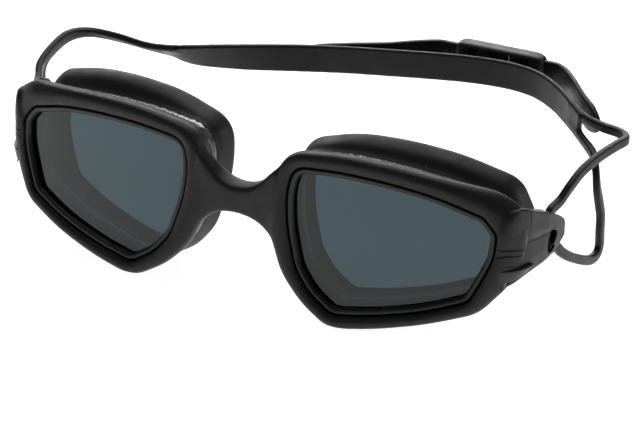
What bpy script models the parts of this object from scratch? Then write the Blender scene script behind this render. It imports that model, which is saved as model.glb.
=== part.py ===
"""Swim goggles: one-piece front frame, two lens cups, side clips and a forked strap with a rear buckle."""
import math

import bmesh
import bpy
import numpy as np
from mathutils import Vector

MM = 0.001

# Where the object's origin lies in the sketch axes below (middle of the footprint, on the floor).
ORIGIN = Vector((-3.889, 46.892, -25.0))

# Eyepiece placement: the lens plane leans back and wraps round the face.
EYE_CENTRE_X = 46.8
WRAP = math.radians(8.8)
LEAN = math.radians(7.4)
FRONT_CURVE = 0.0034
RING_SAMPLES = 72

# Lens opening, anticlockwise from the temple side, as a polygon with rounded corners:
# across, up, rim width, skirt overhang, how far the rim sweeps back, corner rounding.
OPENING = [
    (31.0, 2.0, 7.0, 3.0, 2.6, 3.0),
    (31.4, 8.9, 7.0, 4.6, 2.6, 1.8),
    (29.4, 11.3, 8.6, 5.6, 2.2, 0.9),
    (27.4, 13.7, 7.2, 6.6, 1.8, 1.6),
    (14.0, 18.0, 5.1, 6.6, 0.2, 6.0),
    (0.4, 20.0, 4.8, 6.3, 0.0, 6.0),
    (-14.0, 20.6, 4.7, 5.4, 0.0, 6.0),
    (-28.4, 19.3, 4.1, 2.4, 0.0, 4.5),
    (-30.5, 11.4, 5.2, 1.2, 0.0, 4.0),
    (-29.8, 1.6, 6.8, 1.2, 0.0, 4.0),
    (-26.6, -10.4, 5.0, 1.4, 0.0, 3.0),
    (-21.5, -17.0, 4.2, 1.6, 0.0, 3.0),
    (-14.2, -21.9, 4.1, 1.4, 0.0, 2.4),
    (-2.2, -19.9, 3.9, 1.6, 0.0, 5.0),
    (12.0, -16.4, 3.7, 1.8, 0.0, 5.0),
    (24.9, -11.6, 4.2, 2.6, 0.8, 2.2),
    (28.6, -4.0, 6.6, 2.8, 2.2, 3.0),
]
CORNER_STEPS = 8

GAP = 0.3
LEDGE = 2.4
BEZEL_FRONT = 0.5
LENS_FRONT = 2.4
LENS_THICK = 2.0
SEAL_THICK = 1.0
SHELF_DEPTH = LENS_FRONT + LENS_THICK + SEAL_THICK + 2 * GAP
RIM_DEPTH = SHELF_DEPTH + 1.5
FLANGE_DEPTH = 3.2
SKIRT_DEPTH = 20.0

# Side clip: the strap loop passes down through its slot in front of the rear bar and back under it.
CLIP_INNER_X = 79.4
CLIP_OUTER_X = 84.4
SEAM_Y = 17.3
SLOT_X = (80.2, 83.4)
SLOT_Y = (29.8, 35.6)
BAR_UNDERSIDE = -3.4
LOOP_X = 81.8
LOOP_Y = 32.8
LOOP_Z = 0.0

STRAP_THICK = 1.6
STRAP_HEIGHT = 8.6
STRAND_THICK = 2.2
STRAND_WIDTH = 2.9
STRAND_SPREAD = 2.85

BUCKLE_CENTRE = (35.6, 95.7, 17.2)
BUCKLE_TURN = math.radians(3.0)
BUCKLE_LENGTH = 29.0
BUCKLE_HEIGHT = 11.4
BUCKLE_THICK = 5.2


# ---------- helpers ----------

def clear_scene():
    for obj in list(bpy.data.objects):
        bpy.data.objects.remove(obj, do_unlink=True)


def make_material(name, colour, roughness, metallic=0.0, alpha=1.0):
    mat = bpy.data.materials.new(name)
    mat.use_nodes = True
    bsdf = mat.node_tree.nodes["Principled BSDF"]
    bsdf.inputs["Base Color"].default_value = (*colour, 1.0)
    bsdf.inputs["Roughness"].default_value = roughness
    bsdf.inputs["Metallic"].default_value = metallic
    bsdf.inputs["Alpha"].default_value = alpha
    return mat


def add_object(name, verts, faces, material, collection):
    """One named part from sketch coordinates in millimetres."""
    mesh = bpy.data.meshes.new(name)
    points = [(Vector(v) - ORIGIN) * MM for v in verts]
    mesh.from_pydata(points, [], faces)
    mesh.update()
    bm = bmesh.new()
    bm.from_mesh(mesh)
    bmesh.ops.recalc_face_normals(bm, faces=bm.faces)
    bm.to_mesh(mesh)
    bm.free()
    obj = bpy.data.objects.new(name, mesh)
    collection.objects.link(obj)
    if material is not None:
        mesh.materials.append(material)
    return obj


def combine(target, other, operation, collection):
    """Join or cut one part with another; the tool stays in the cutters' collection."""
    mod = target.modifiers.new(other.name, "BOOLEAN")
    mod.operation = operation
    mod.solver = "EXACT"
    mod.object = other
    other.hide_render = True
    other.display_type = "WIRE"
    if other.name not in collection.objects:
        for owner in list(other.users_collection):
            owner.objects.unlink(other)
        collection.objects.link(other)


def smooth(obj, angle=40.0):
    mesh = obj.data
    mesh.shade_smooth()
    mesh.set_sharp_from_angle(angle=math.radians(angle))


def spline(points, spacing):
    """Smooth curve through the points, evenly resampled by length of the first three values."""
    pts = np.array(points, dtype=float)
    n = len(pts)
    dense = []
    for i in range(n - 1):
        p0, p1, p2, p3 = (pts[min(max(i + k - 1, 0), n - 1)] for k in range(4))
        for t in np.linspace(0.0, 1.0, 16, endpoint=False):
            a = 2 * p1
            b = p2 - p0
            c = 2 * p0 - 5 * p1 + 4 * p2 - p3
            d = -p0 + 3 * p1 - 3 * p2 + p3
            dense.append(0.5 * (a + b * t + c * t * t + d * t ** 3))
    dense.append(pts[-1])
    dense = np.array(dense)
    step = np.linalg.norm(np.diff(dense[:, :3], axis=0), axis=1)
    length = np.concatenate([[0.0], np.cumsum(step)])
    count = max(4, int(round(length[-1] / spacing)) + 1)
    goal = np.linspace(0.0, length[-1], count)
    return np.stack([np.interp(goal, length, dense[:, k]) for k in range(dense.shape[1])], axis=1)


def tube_faces(rows, cols, closed_rows):
    """Quads over a grid whose columns close round; open rows get end caps."""
    faces = []
    spans = rows if closed_rows else rows - 1
    for i in range(spans):
        for j in range(cols):
            a = i * cols + j
            b = i * cols + (j + 1) % cols
            c = ((i + 1) % rows) * cols + (j + 1) % cols
            d = ((i + 1) % rows) * cols + j
            faces.append((a, b, c, d))
    if not closed_rows:
        faces.append(tuple(range(cols - 1, -1, -1)))
        faces.append(tuple(range((rows - 1) * cols, rows * cols)))
    return faces


# ---------- eyepiece rings ----------

def eye_axes():
    across = Vector((math.cos(WRAP), math.sin(WRAP), 0.0))
    back = Vector((-math.sin(WRAP), math.cos(WRAP), 0.0))
    up = Vector((0.0, 0.0, 1.0)) * math.cos(LEAN) + back * math.sin(LEAN)
    inward = back * math.cos(LEAN) - Vector((0.0, 0.0, 1.0)) * math.sin(LEAN)
    return across, up, inward


def eye_point(across_mm, up_mm, depth_mm, side):
    across, up, inward = eye_axes()
    depth = depth_mm + FRONT_CURVE * across_mm * across_mm
    point = Vector((EYE_CENTRE_X, 0.0, 0.0)) + across * across_mm + up * up_mm + inward * depth
    point.x *= side
    return point


def opening_path():
    """Dense run round the opening: straight sides joined by curved corners; every column blends alike."""
    rows = np.array(OPENING)
    count = len(rows)
    dense = []
    for i in range(count):
        corner = rows[i][:5]
        for neighbour, backwards in ((rows[i - 1][:5], True), (rows[(i + 1) % count][:5], False)):
            side = np.linalg.norm((neighbour - corner)[:2])
            ease = min(rows[i][5], 0.5 * side) / side
            if backwards:
                start = corner + (neighbour - corner) * ease
            else:
                end = corner + (neighbour - corner) * ease
        for t in np.linspace(0.0, 1.0, CORNER_STEPS):
            dense.append((1 - t) ** 2 * start + 2 * t * (1 - t) * corner + t * t * end)
    return np.array(dense)


def opening_ring():
    dense = opening_path()
    closed = np.vstack([dense, dense[:1]])
    step = np.linalg.norm(np.diff(closed[:, :2], axis=0), axis=1)
    length = np.concatenate([[0.0], np.cumsum(step)])
    goal = np.linspace(0.0, length[-1], RING_SAMPLES, endpoint=False)
    ring = np.stack([np.interp(goal, length, closed[:, k]) for k in range(closed.shape[1])], axis=1)
    tangent = np.roll(ring[:, :2], -1, axis=0) - np.roll(ring[:, :2], 1, axis=0)
    tangent /= np.linalg.norm(tangent, axis=1)[:, None]
    normal = np.stack([tangent[:, 1], -tangent[:, 0]], axis=1)
    return ring, normal


def ring_solid(name, section, side, material, collection):
    """A ring swept round the lens opening. Section rows: rim and skirt fractions, extra, depth, sweep."""
    ring, normal = opening_ring()
    verts = []
    for row, out in zip(ring, normal):
        for rim, skirt, extra, depth, *sweep in section:
            reach = rim * row[2] + skirt * row[3] + extra
            back = depth + row[4] * sum(sweep)
            verts.append(eye_point(row[0] + out[0] * reach, row[1] + out[1] * reach, back, side))
    faces = tube_faces(len(ring), len(section), True)
    return add_object(name, verts, faces, material, collection)


def rim_section():
    return [
        (0.0, 0.0, 0.15, 0.5),
        (0.08, 0.0, 0.15, 0.0),
        (0.45, 0.0, 0.0, -0.7, 0.25),
        (0.80, 0.0, 0.0, -0.1, 0.7),
        (0.97, 0.0, 0.0, 1.0, 0.95),
        (1.0, 0.0, 0.0, 2.4, 1.0),
        (0.86, 0.0, 0.0, 4.8, 0.6),
        (0.66, 0.0, 0.0, RIM_DEPTH - 0.5),
        (0.56, 0.0, 0.0, RIM_DEPTH),
        (0.0, 0.0, -LEDGE, RIM_DEPTH),
        (0.0, 0.0, -LEDGE, SHELF_DEPTH),
        (0.0, 0.0, 0.15, SHELF_DEPTH),
    ]


def make_bezel(side, tag, material, collection):
    section = [
        (0.0, 0.0, -0.15, BEZEL_FRONT + 0.3),
        (0.0, 0.0, -0.15, LENS_FRONT - GAP),
        (0.0, 0.0, -2.0, LENS_FRONT - GAP),
        (0.0, 0.0, -1.9, BEZEL_FRONT + 0.7),
        (0.0, 0.0, -1.4, BEZEL_FRONT),
        (0.0, 0.0, -0.5, BEZEL_FRONT),
    ]
    obj = ring_solid(tag + "_bezel", section, side, material, collection)
    smooth(obj)
    return obj


def make_seal(side, tag, material, collection):
    front = LENS_FRONT + LENS_THICK + GAP
    section = [
        (0.0, 0.0, -0.4, front),
        (0.0, 0.0, -0.4, front + SEAL_THICK - 0.3),
        (0.0, 0.0, -2.2, front + SEAL_THICK - 0.3),
        (0.0, 0.0, -2.2, front),
    ]
    obj = ring_solid(tag + "_lens_seal", section, side, material, collection)
    smooth(obj)
    return obj


def make_flange(side, tag, material, collection):
    front = RIM_DEPTH + GAP
    section = [
        (0.38, 0.08, 0.0, front),
        (0.42, 0.12, 0.0, front + 0.5),
        (0.42, 0.12, 0.0, front + FLANGE_DEPTH - 0.5),
        (0.38, 0.08, 0.0, front + FLANGE_DEPTH),
        (0.0, 0.0, -LEDGE, front + FLANGE_DEPTH),
        (0.0, 0.0, -LEDGE, front),
    ]
    obj = ring_solid(tag + "_flange", section, side, material, collection)
    smooth(obj)
    return obj


def make_gasket(side, tag, material, collection):
    front = RIM_DEPTH + FLANGE_DEPTH + 2 * GAP
    lip = SKIRT_DEPTH
    section = [
        (0.30, 0.16, 0.0, front),
        (0.28, 0.30, 0.0, front + 1.0),
        (0.15, 0.72, 0.2, front + 2.6),
        (0.0, 1.0, 0.8, lip - 3.0),
        (0.0, 1.0, 0.8, lip - 1.4),
        (0.0, 0.9, 0.0, lip - 0.2),
        (0.0, 0.5, -0.8, lip),
        (0.0, 0.0, -2.2, lip + 0.1),
        (0.0, 0.0, -2.4, lip - 0.9),
        (0.0, 0.5, -1.0, lip - 1.3),
        (0.0, 0.85, -0.7, lip - 2.3),
        (0.0, 0.85, -0.7, lip - 3.3),
        (0.12, 0.60, -1.0, front + 3.0),
        (0.14, 0.10, -0.8, front + 1.4),
        (0.0, 0.0, -LEDGE, front + 1.2),
        (0.0, 0.0, -LEDGE, front),
    ]
    obj = ring_solid(tag + "_gasket", section, side, material, collection)
    smooth(obj)
    return obj


def make_lens(side, tag, material, collection):
    """Curved plate whose outline follows the opening."""
    ring, normal = opening_ring()
    scales = (0.28, 0.62, 0.88, 1.0)
    edge = -0.45
    verts = []
    faces = []
    count = len(ring)
    for depth in (LENS_FRONT, LENS_FRONT + LENS_THICK):
        base = len(verts)
        verts.append(eye_point(0.0, 0.0, depth, side))
        for scale in scales:
            for row, out in zip(ring, normal):
                across = (row[0] + out[0] * edge) * scale
                up = (row[1] + out[1] * edge) * scale
                verts.append(eye_point(across, up, depth, side))
        for j in range(count):
            faces.append((base, base + 1 + j, base + 1 + (j + 1) % count))
        for level in range(len(scales) - 1):
            inner = base + 1 + level * count
            outer = inner + count
            for j in range(count):
                k = (j + 1) % count
                faces.append((inner + j, outer + j, outer + k, inner + k))
    face_size = 1 + len(scales) * count
    front_edge = 1 + (len(scales) - 1) * count
    back_edge = face_size + front_edge
    for j in range(count):
        k = (j + 1) % count
        faces.append((front_edge + j, back_edge + j, back_edge + k, front_edge + k))
    obj = add_object(tag + "_lens", verts, faces, material, collection)
    smooth(obj, 50.0)
    return obj


# ---------- frame, arms and clips ----------

def box_section(low, high, corner):
    """Eight-cornered outline of a rectangle given by two opposite corners (a, b)."""
    a0, b0 = low
    a1, b1 = high
    return [
        (a0 + corner, b0), (a1 - corner, b0), (a1, b0 + corner), (a1, b1 - corner),
        (a1 - corner, b1), (a0 + corner, b1), (a0, b1 - corner), (a0, b0 + corner),
    ]


def loft(name, stations, place, material, collection):
    verts = []
    for station in stations:
        at, low, high, corner = station
        for a, b in box_section(low, high, corner):
            verts.append(place(at, a, b))
    faces = tube_faces(len(stations), 8, False)
    return add_object(name, verts, faces, material, collection)


def box(name, low, high, collection):
    """Plain block between two corners, used as a cutter."""
    stations = [(low[1], (low[0], low[2]), (high[0], high[2]), 0.02),
                (high[1], (low[0], low[2]), (high[0], high[2]), 0.02)]
    obj = loft(name, stations, lambda y, x, z: (x, y, z), None, collection)
    obj.hide_render = True
    obj.display_type = "WIRE"
    return obj


def make_bridge(material, collection):
    # Distance from the middle, underside, top, back.
    half = [(0.0, 0.0, 8.6, 6.6), (3.5, -0.3, 9.2, 6.5), (7.0, -1.4, 11.2, 6.2), (10.0, -3.6, 14.4, 5.4),
            (12.6, -6.5, 17.0, 4.4)]
    mirrored = [(-row[0], *row[1:]) for row in half[:0:-1]]
    stations = [(x, (-0.8, low), (back, high), 1.5) for x, low, high, back in mirrored + half]
    return loft("bridge_block", stations, lambda x, y, z: (x, y, z), material, collection)


def make_arm(side, tag, material, collection):
    stations = [
        (8.6, (77.8, -1.0), (79.2, 9.0), 0.6),
        (10.4, (78.1, -4.4), (80.9, 13.4), 1.0),
        (13.0, (78.7, -7.0), (82.2, 15.2), 1.4),
        (SEAM_Y - GAP, (79.6, -7.2), (83.2, 14.6), 1.5),
    ]
    return loft(tag + "_arm_block", stations, lambda y, x, z: (side * x, y, z), material, collection)


def make_frame(material, parts, cutters):
    frame = ring_solid("front_frame", rim_section(), 1, material, parts)
    other_rim = ring_solid("left_rim_block", rim_section(), -1, material, cutters)
    combine(frame, other_rim, "UNION", cutters)
    combine(frame, make_bridge(material, cutters), "UNION", cutters)
    for side, tag in ((1, "right"), (-1, "left")):
        combine(frame, make_arm(side, tag, material, cutters), "UNION", cutters)
    for side, tag in ((1, "right"), (-1, "left")):
        for index, height in enumerate((3.0, 0.8)):
            x0, x1 = sorted((side * 81.0, side * 90.0))
            groove = box(f"{tag}_groove_{index}", (x0, 11.0, height), (x1, 15.8, height + 0.8), cutters)
            combine(frame, groove, "DIFFERENCE", cutters)
    for side, tag in ((1, "right"), (-1, "left")):
        x0, x1 = sorted((side * (CLIP_INNER_X - GAP), side * 95.0))
        room = box(tag + "_clip_room", (x0, SEAM_Y - GAP, -8.0), (x1, 30.0, 20.0), cutters)
        combine(frame, room, "DIFFERENCE", cutters)
    combine(frame, box("floor_block", (-60, -10, -40), (60, 30, ORIGIN.z), cutters), "DIFFERENCE", cutters)
    smooth(frame, 35.0)
    return frame


def make_clip(side, tag, material, parts, cutters):
    stations = [
        (SEAM_Y, (CLIP_INNER_X, -6.6), (83.3, 14.4), 1.2),
        (21.0, (CLIP_INNER_X, -6.8), (83.9, 12.6), 1.3),
        (26.0, (CLIP_INNER_X, -6.9), (CLIP_OUTER_X, 10.2), 1.4),
        (31.4, (CLIP_INNER_X, -6.8), (CLIP_OUTER_X, 7.8), 1.4),
        (35.0, (CLIP_INNER_X, -6.3), (CLIP_OUTER_X, 5.4), 1.4),
        (37.8, (CLIP_INNER_X, -5.2), (CLIP_OUTER_X, 3.0), 1.5),
        (39.2, (CLIP_INNER_X + 0.9, -3.6), (CLIP_OUTER_X - 0.9, 1.2), 1.2),
    ]
    clip = loft(tag + "_clip", stations, lambda y, x, z: (side * x, y, z), material, parts)
    x0, x1 = sorted((side * SLOT_X[0], side * SLOT_X[1]))
    slot = box(tag + "_slot", (x0, SLOT_Y[0], -20), (x1, SLOT_Y[1], 20), cutters)
    combine(clip, slot, "DIFFERENCE", cutters)
    # Under the rear bar the strand runs back in a channel behind the outer wall.
    channel = box(tag + "_channel", (x0, SLOT_Y[0] + 1.0, -20), (x1, 45.0, BAR_UNDERSIDE), cutters)
    combine(clip, channel, "DIFFERENCE", cutters)
    x0, x1 = sorted((side * (SLOT_X[1] - 0.6), side * 90.0))
    window = box(tag + "_window", (x0, 28.4, -4.4), (x1, 32.6, 2.6), cutters)
    combine(clip, window, "DIFFERENCE", cutters)
    smooth(clip, 35.0)
    return clip


def make_blade(side, tag, material, collection):
    """Raised blade-shaped inlay on the outside of the arm, pointing back."""
    stations = [
        (10.6, (81.5, -5.0), (82.3, -1.4), 0.3),
        (13.2, (82.65, -5.0), (83.45, -1.4), 0.3),
        (SEAM_Y - 0.4, (83.5, -3.9), (84.3, -1.9), 0.3),
        (18.8, (84.1, -3.1), (84.7, -2.3), 0.25),
    ]
    return loft(tag + "_blade", stations, lambda y, x, z: (side * x, y, z), material, collection)


# ---------- strap ----------

def ribbon(name, rows, thick, width, material, collection, spacing=2.4):
    """Flat band along rows of x, y, z, facing angle and upward tilt of the face in degrees."""
    path = spline([tuple(row) + (0.0,) * (5 - len(row)) for row in rows], spacing=spacing)
    verts = []
    last = len(path) - 1
    outline = box_section((-thick / 2, -width / 2), (thick / 2, width / 2), 0.3 * thick)
    for i, row in enumerate(path):
        before = Vector(path[max(i - 1, 0)][:3])
        after = Vector(path[min(i + 1, last)][:3])
        tangent = (after - before).normalized()
        turn = math.radians(row[3])
        tilt = math.radians(row[4])
        face = Vector((math.cos(turn) * math.cos(tilt), math.sin(turn) * math.cos(tilt), math.sin(tilt)))
        face = (face - tangent * face.dot(tangent)).normalized()
        across = tangent.cross(face).normalized()
        for a, b in outline:
            verts.append(Vector(row[:3]) + face * a + across * b)
    faces = tube_faces(len(path), 8, False)
    return add_object(name, verts, faces, material, collection)


# Head band between the two fork roots: x, y, z, facing angle, tilt. It lies flat at its left end.
HEAD_BAND = [
    (-64.0, 65.8, 11.7, 96.0, 60.0),
    (-58.0, 65.6, 11.8, 98.0, 41.0),
    (-51.5, 66.7, 12.1, 101.0, 27.0),
    (-47.0, 68.0, 12.4, 103.0, 20.0),
    (-38.0, 71.0, 12.9, 107.0, 9.0),
    (-29.0, 74.2, 13.5, 108.0, 3.0),
    (-20.0, 77.0, 14.2, 107.0, 0.0),
    (-8.0, 80.5, 15.0, 106.0, 0.0),
    (4.0, 83.6, 15.6, 105.0, 0.0),
    (16.0, 86.6, 16.2, 103.0, 0.0),
    (28.0, 89.0, 16.8, 99.0, 0.0),
    (40.0, 90.0, 17.2, 90.0, 0.0),
    (50.0, 88.6, 17.2, 76.0, 0.0),
    (58.0, 84.8, 16.6, 60.0, 0.0),
    (65.0, 79.6, 15.6, 50.0, 0.0),
    (72.0, 73.6, 14.4, 46.0, 0.0),
]

RIGHT_LOOP = [
    (66.4, 78.6, 15.4 + STRAND_SPREAD, 49.0),
    (73.0, 74.0, 14.5 + STRAND_SPREAD, 52.0),
    (79.0, 72.6, 16.5, 60.0),
    (85.0, 71.8, 16.2, 58.0),
    (88.6, 68.6, 16.2, 12.0),
    (87.9, 63.1, 16.2, -8.0),
    (86.5, 55.4, 15.8, -8.0),
    (85.1, 47.4, 14.4, -6.0),
    (84.0, 41.8, 11.6, -4.0),
    (82.9, 38.4, 8.6, -2.0),
    (82.2, 36.2, 7.5, 0.0),
    (LOOP_X, LOOP_Y + 1.1, 6.8, 0.0),
    (LOOP_X, LOOP_Y, 5.0, 0.0),
    (LOOP_X, LOOP_Y, LOOP_Z, 0.0),
    (LOOP_X, LOOP_Y, -4.0, 0.0),
    (LOOP_X, LOOP_Y + 1.0, -5.3, 0.0),
    (81.9, 36.0, -5.5, 0.0),
    (82.2, 38.2, -6.4, 0.0),
    (82.6, 40.5, -8.8, 0.0),
    (83.2, 45.2, -12.3, 0.0),
    (83.8, 52.3, -16.3, 0.0),
    (84.0, 57.5, -18.6, 0.0),
    (84.2, 61.4, -18.8, 0.0),
    (84.3, 63.4, -16.6, 0.0),
    (84.2, 63.6, -11.4, 0.0),
    (84.0, 64.0, -7.2, 0.0),
    (83.6, 63.4, -3.0, 2.0),
    (83.0, 62.8, 1.8, 12.0),
    (81.8, 64.0, 6.6, 26.0),
    (79.0, 67.6, 9.8, 40.0),
    (73.0, 72.6, 14.3 - STRAND_SPREAD, 48.0),
    (66.4, 78.6, 15.4 - STRAND_SPREAD, 49.0),
]

LEFT_LOOP = [
    (-57.0, 63.9, 13.9, 98.0, 41.0),
    (-61.0, 63.5, 13.5, 97.0, 52.0),
    (-68.0, 63.2, 13.0, 96.0, 56.0),
    (-79.5, 64.8, 12.7, 100.0, 40.0),
    (-89.2, 64.4, 12.4, 124.0, 20.0),
    (-93.8, 59.6, 12.2, 156.0, 6.0),
    (-94.6, 51.4, 10.4, 178.0, 0.0),
    (-94.0, 44.4, 8.2, 184.0, 0.0),
    (-91.6, 39.6, 6.6, 190.0, 0.0),
    (-89.4, 35.4, 6.2, 202.0, 0.0),
    (-86.0, LOOP_Y + 0.6, 8.4, 200.0, 0.0),
    (-82.8, LOOP_Y, 8.2, 186.0, 0.0),
    (-LOOP_X, LOOP_Y, 5.6, 180.0, 0.0),
    (-LOOP_X, LOOP_Y, LOOP_Z, 180.0, 0.0),
    (-LOOP_X, LOOP_Y, -4.2, 180.0, 0.0),
    (-81.8, LOOP_Y + 1.0, -5.4, 180.0, 0.0),
    (-81.9, 36.2, -5.6, 181.0, 0.0),
    (-82.1, 38.6, -6.6, 184.0, 0.0),
    (-83.6, 40.8, -7.0, 190.0, 0.0),
    (-89.0, 43.2, -5.2, 192.0, 0.0),
    (-94.2, 45.4, 0.6, 188.0, 0.0),
    (-96.2, 48.8, 5.8, 184.0, 0.0),
    (-96.3, 54.8, 8.6, 176.0, 4.0),
    (-95.2, 62.6, 10.3, 152.0, 10.0),
    (-90.8, 67.8, 10.7, 124.0, 26.0),
    (-81.2, 68.1, 10.9, 104.0, 42.0),
    (-69.7, 66.8, 11.0, 96.0, 56.0),
    (-61.0, 68.0, 10.2, 97.0, 52.0),
    (-57.0, 67.7, 9.6, 98.0, 41.0),
]

REAR_BAND_LEFT = [
    (-20.0, 79.1, 13.6, 107.0),
    (-14.0, 81.1, 14.4, 107.0),
    (-8.0, 83.3, 15.1, 108.0),
    (2.0, 87.2, 16.0, 112.0),
    (9.4, 91.4, 16.7, 116.0),
    (15.4, 94.4, 17.1, 102.0),
    (19.0, 94.83, 17.2, 93.0),
    (25.6, 95.17, 17.2, 93.0),
    (38.2, 95.83, 17.2, 93.0),
]

REAR_BAND_RIGHT = [
    (39.9, 95.93, 17.2, 93.0),
    (45.0, 96.19, 17.2, 93.0),
    (50.6, 96.49, 17.2, 93.0),
    (54.0, 96.3, 17.2, 84.0),
    (58.0, 93.8, 17.0, 64.0),
    (62.0, 89.8, 16.6, 52.0),
    (67.0, 84.8, 15.6, 47.0),
    (72.0, 80.6, 14.6, 45.0),
    (76.0, 77.4, 13.6, 42.0),
]


def make_strap(material, parts, cutters):
    strap = ribbon("strap", HEAD_BAND, STRAP_THICK, STRAP_HEIGHT, material, parts, 3.0)
    for name, rows in (("right_loop_block", RIGHT_LOOP), ("left_loop_block", LEFT_LOOP)):
        loop = ribbon(name, rows, STRAND_THICK, STRAND_WIDTH, material, cutters, 1.8)
        combine(strap, loop, "UNION", cutters)
    smooth(strap, 50.0)
    return strap


def buckle_place(along, out, up, turn=BUCKLE_TURN):
    """Buckle axes: along the band, outward from the head, up."""
    c, s = math.cos(turn), math.sin(turn)
    x, y, z = BUCKLE_CENTRE
    return (x + along * c - out * s, y + along * s + out * c, z + up)


def buckle_block(name, low, high, corner, material, collection):
    stations = [(low[0], (low[1], low[2]), (high[1], high[2]), corner),
                (high[0], (low[1], low[2]), (high[1], high[2]), corner)]
    return loft(name, stations, buckle_place, material, collection)


def make_buckle(material, parts, cutters):
    half = BUCKLE_LENGTH / 2
    tall = BUCKLE_HEIGHT / 2
    deep = BUCKLE_THICK / 2
    window = STRAP_HEIGHT / 2 + 0.4
    channel = STRAP_THICK / 2 + 0.4
    stations = [
        (-half, (-deep + 1.0, -tall + 1.4), (deep - 1.0, tall - 1.4), 0.6),
        (-half + 2.0, (-deep, -tall), (deep, tall), 1.0),
        (half - 2.0, (-deep, -tall), (deep, tall), 1.0),
        (half, (-deep + 1.0, -tall + 1.4), (deep - 1.0, tall - 1.4), 0.6),
    ]
    buckle = loft("buckle", stations, buckle_place, material, parts)
    passage = buckle_block("band_passage", (-half - 5, -channel, -window), (half + 5, channel, window),
                           0.02, None, cutters)
    combine(buckle, passage, "DIFFERENCE", cutters)
    # Slots between the upright bars, open right through.
    for index, (start, end) in enumerate(((-9.6, -6.4), (-3.4, 3.6), (6.6, 10.0))):
        slot = buckle_block(f"bar_slot_{index}", (start, -9.0, -window), (end, 9.0, window),
                            0.02, None, cutters)
        combine(buckle, slot, "DIFFERENCE", cutters)
    smooth(buckle, 35.0)
    return buckle


# ---------- assembly ----------

def build():
    clear_scene()
    scene = bpy.context.scene
    parts = bpy.data.collections.new("swim_goggles")
    cutters = bpy.data.collections.new("cutters")
    cutters.hide_render = True
    scene.collection.children.link(parts)
    scene.collection.children.link(cutters)

    matte = make_material("frame_matte_black", (0.035, 0.034, 0.033), 0.62)
    bezel_mat = make_material("bezel_black", (0.022, 0.022, 0.023), 0.45)
    lens_mat = make_material("lens_smoke", (0.09, 0.13, 0.14), 0.05, alpha=0.6)
    flange_mat = make_material("flange_gloss", (0.05, 0.05, 0.052), 0.18)
    silicone = make_material("skirt_silicone", (0.02, 0.02, 0.021), 0.5)
    strap_mat = make_material("strap_silicone", (0.028, 0.027, 0.027), 0.55)
    blade_mat = make_material("blade_satin", (0.045, 0.044, 0.044), 0.35)

    make_frame(matte, parts, cutters)
    for side, tag in ((1, "right"), (-1, "left")):
        make_bezel(side, tag, bezel_mat, parts)
        make_lens(side, tag, lens_mat, parts)
        make_seal(side, tag, silicone, parts)
        make_flange(side, tag, flange_mat, parts)
        skirt = make_gasket(side, tag, silicone, parts)
        x0, x1 = sorted((side * 5.0, side * 95.0))
        block = box(tag + "_skirt_floor", (x0, 0, -45), (x1, 60, ORIGIN.z), cutters)
        combine(skirt, block, "DIFFERENCE", cutters)
        make_clip(side, tag, matte, parts, cutters)
        make_blade(side, tag, blade_mat, parts)
    make_strap(strap_mat, parts, cutters)
    for name, rows in (("rear_band_left", REAR_BAND_LEFT), ("rear_band_right", REAR_BAND_RIGHT)):
        smooth(ribbon(name, rows, STRAP_THICK, STRAP_HEIGHT, strap_mat, parts), 50.0)
    make_buckle(matte, parts, cutters)


build()
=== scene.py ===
import math

import bmesh
import bpy
import numpy as np
from mathutils import Matrix, Vector
from mathutils.bvhtree import BVHTree


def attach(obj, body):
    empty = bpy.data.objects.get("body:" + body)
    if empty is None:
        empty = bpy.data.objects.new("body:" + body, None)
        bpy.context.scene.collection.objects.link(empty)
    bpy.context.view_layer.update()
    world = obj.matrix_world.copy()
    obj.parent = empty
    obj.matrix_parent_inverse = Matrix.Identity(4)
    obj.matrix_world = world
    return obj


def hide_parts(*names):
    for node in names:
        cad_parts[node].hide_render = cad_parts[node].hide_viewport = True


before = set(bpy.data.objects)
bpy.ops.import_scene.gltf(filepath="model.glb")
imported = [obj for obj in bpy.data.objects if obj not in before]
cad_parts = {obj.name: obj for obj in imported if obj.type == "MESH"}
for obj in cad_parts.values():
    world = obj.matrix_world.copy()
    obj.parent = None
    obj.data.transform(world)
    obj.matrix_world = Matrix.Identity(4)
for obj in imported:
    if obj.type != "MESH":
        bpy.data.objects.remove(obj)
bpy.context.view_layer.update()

MM = 0.001
# Shapes are drawn in the same millimetre axes as the CAD.
# This is where the shared frame's origin lies in them.
ORIGIN = Vector((-3.889, 46.892, -25.0))

EYE_CENTRE_X = 46.8
WRAP = math.radians(8.8)
LEAN = math.radians(7.4)
FRONT_CURVE = 0.0034
RING_SAMPLES = 264

# Lens opening, anticlockwise from the temple side, as a polygon with rounded corners:
# across, up, rim width, skirt overhang, how far the rim sweeps back, corner rounding.
OPENING = [
    (31.0, 2.0, 7.0, 3.0, 2.6, 3.0),
    (31.4, 8.9, 7.0, 4.6, 2.6, 1.8),
    (29.4, 11.3, 8.6, 5.6, 2.2, 0.9),
    (27.4, 13.7, 7.2, 6.6, 1.8, 1.6),
    (14.0, 18.0, 5.1, 6.6, 0.2, 6.0),
    (0.4, 20.0, 4.8, 6.3, 0.0, 6.0),
    (-14.0, 20.6, 4.7, 5.4, 0.0, 6.0),
    (-28.4, 19.3, 4.1, 2.4, 0.0, 4.5),
    (-30.5, 11.4, 5.2, 1.2, 0.0, 4.0),
    (-29.8, 1.6, 6.8, 1.2, 0.0, 4.0),
    (-26.6, -10.4, 5.0, 1.4, 0.0, 3.0),
    (-21.5, -17.0, 4.2, 1.6, 0.0, 3.0),
    (-14.2, -21.9, 4.1, 1.4, 0.0, 2.4),
    (-2.2, -19.9, 3.9, 1.6, 0.0, 5.0),
    (12.0, -16.4, 3.7, 1.8, 0.0, 5.0),
    (24.9, -11.6, 4.2, 2.6, 0.8, 2.2),
    (28.6, -4.0, 6.6, 2.8, 2.2, 3.0),
]
CORNER_STEPS = 14

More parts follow.
